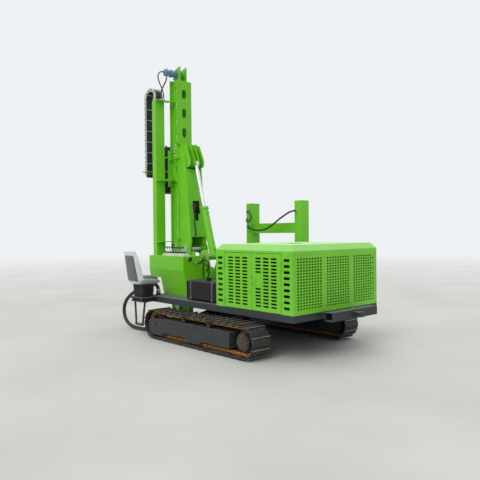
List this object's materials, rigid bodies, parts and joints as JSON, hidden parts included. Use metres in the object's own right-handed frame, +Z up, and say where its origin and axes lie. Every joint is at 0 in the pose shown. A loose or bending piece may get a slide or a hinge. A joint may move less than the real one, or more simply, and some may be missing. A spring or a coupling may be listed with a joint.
{
  "type": "pile driver rig",
  "caption": "Crawler pile driver rig: tracked carrier with engine hood, side seat, and a mast on a tilting frame that guides a sliding hammer.",
  "frame": {"origin": "on the ground, below the middle of the machine's bounding box", "axes": "+X forward, towards the hammer; +Y to the machine's left; +Z up along the upright mast"},
  "size_m": [4.945, 2.705, 5.135],
  "materials": {
    "track_steel": "worn steel shoes with rusty chain links",
    "slate_paint": "dark slate paint, satin",
    "wheel_steel": "dull dark steel",
    "engine_paint": "dark grey paint",
    "green_paint": "bright green paint, satin",
    "tank_black": "black paint, semi gloss",
    "strap_steel": "plain steel",
    "rod_chrome": "polished rod",
    "lever_white": "white knobs on a pale valve block",
    "bellows_rubber": "matt folded rubber",
    "seat_vinyl": "dark grey vinyl",
    "shell_white": "pale moulded shell",
    "motor_blue": "blue paint",
    "chain_plastic": "pale plastic frames",
    "hose_rubber": "black hydraulic hose"
  },
  "bodies": {
    "carrier": {"track_left": "track_steel", "track_right": "track_steel", "track_frame_left": "slate_paint", "track_frame_right": "slate_paint", "track_wheels_left": "wheel_steel", "track_wheels_right": "wheel_steel", "sprocket_left": "wheel_steel", "sprocket_right": "wheel_steel", "car_body": "slate_paint", "deck": "slate_paint", "bumper": "slate_paint", "engine": "engine_paint", "hood_roof": "green_paint", "hood_front": "green_paint", "rear_grille": "green_paint", "post_front_left": "green_paint", "post_front_right": "green_paint", "post_rear_left": "green_paint", "post_rear_right": "green_paint", "fuel_tank": "tank_black", "tank_straps": "strap_steel", "oil_tank": "green_paint", "levers": "lever_white", "mast_base": "green_paint", "base_pins": "strap_steel", "seat_base": "slate_paint", "seat_bellows": "bellows_rubber", "seat_cushion": "seat_vinyl", "seat_shell": "shell_white", "step": "slate_paint", "rack_front": "green_paint", "rack_rear": "green_paint", "rack_crossbar": "green_paint", "loop_hose": "hose_rubber", "rack_hose": "hose_rubber", "foot_hoses": "hose_rubber"},
    "door_fl": {"door_front_left": "green_paint"},
    "door_fr": {"door_front_right": "green_paint"},
    "door_rl": {"door_rear_left": "green_paint"},
    "door_rr": {"door_rear_right": "green_paint"},
    "mast_frame": {"mast_frame": "green_paint", "frame_hoses": "hose_rubber"},
    "cylinder_barrel": {"cylinder_barrel": "green_paint"},
    "cylinder_rod": {"cylinder_rod": "rod_chrome"},
    "mast": {"mast_web": "green_paint", "mast_side_left": "green_paint", "mast_side_right": "green_paint", "mast_foot": "green_paint", "mast_head": "green_paint", "head_motor": "motor_blue", "trough": "green_paint", "head_hoses": "hose_rubber"},
    "hammer": {"carriage": "green_paint", "carriage_shoes": "green_paint", "hammer_body": "engine_paint", "hammer_cap": "tank_black"},
    "energy_chain": {"energy_chain": "chain_plastic", "chain_hoses": "hose_rubber"}
  },
  "joints": [
    {"name": "mast_tilt", "type": "hinge", "parent": "carrier", "child": "mast_frame", "pos_m": [1.4145, -0.1025, 1.5355], "axis": [0, -1, 0], "range_deg": [-3, 80]},
    {"name": "tilt_cylinder_swing", "type": "hinge", "parent": "carrier", "child": "cylinder_barrel", "pos_m": [0.8465, -0.1025, 1.406], "axis": [0, -1, 0], "range_deg": [-3.3, 87.3]},
    {"name": "tilt_rod_slide", "type": "slide", "parent": "cylinder_barrel", "child": "cylinder_rod", "axis": [0.2794, 0, 0.9602], "range_m": [-0.73, 0.03]},
    {"name": "mast_slide", "type": "slide", "parent": "mast_frame", "child": "mast", "axis": [0, 0, 1], "range_m": [-0.04, 0.5]},
    {"name": "hammer_slide", "type": "slide", "parent": "mast", "child": "hammer", "axis": [0, 0, 1], "range_m": [-2.2, 0.8]},
    {"name": "energy_chain_slide", "type": "slide", "parent": "mast", "child": "energy_chain", "axis": [0, 0, 1], "range_m": [-1.1, 0.4]},
    {"name": "door_front_left_hinge", "type": "hinge", "parent": "carrier", "child": "door_fl", "pos_m": [-0.6155, 0.8975, 1.1], "axis": [0, 0, -1], "range_deg": [0, 100]},
    {"name": "door_rear_left_hinge", "type": "hinge", "parent": "carrier", "child": "door_rl", "pos_m": [-1.8095, 0.8975, 1.1], "axis": [0, 0, 1], "range_deg": [0, 100]},
    {"name": "door_front_right_hinge", "type": "hinge", "parent": "carrier", "child": "door_fr", "pos_m": [-0.6155, -1.1025, 1.1], "axis": [0, 0, 1], "range_deg": [0, 100]},
    {"name": "door_rear_right_hinge", "type": "hinge", "parent": "carrier", "child": "door_rr", "pos_m": [-1.8095, -1.1025, 1.1], "axis": [0, 0, -1], "range_deg": [0, 100]}
  ],
  "couplings": [
    {"joint": "tilt_cylinder_swing", "follows": "mast_tilt", "ratio": 1.0905},
    {"joint": "tilt_rod_slide", "follows": "mast_tilt", "m_per_rad": -0.52023},
    {"joint": "energy_chain_slide", "follows": "hammer_slide", "ratio": 0.5}
  ]
}
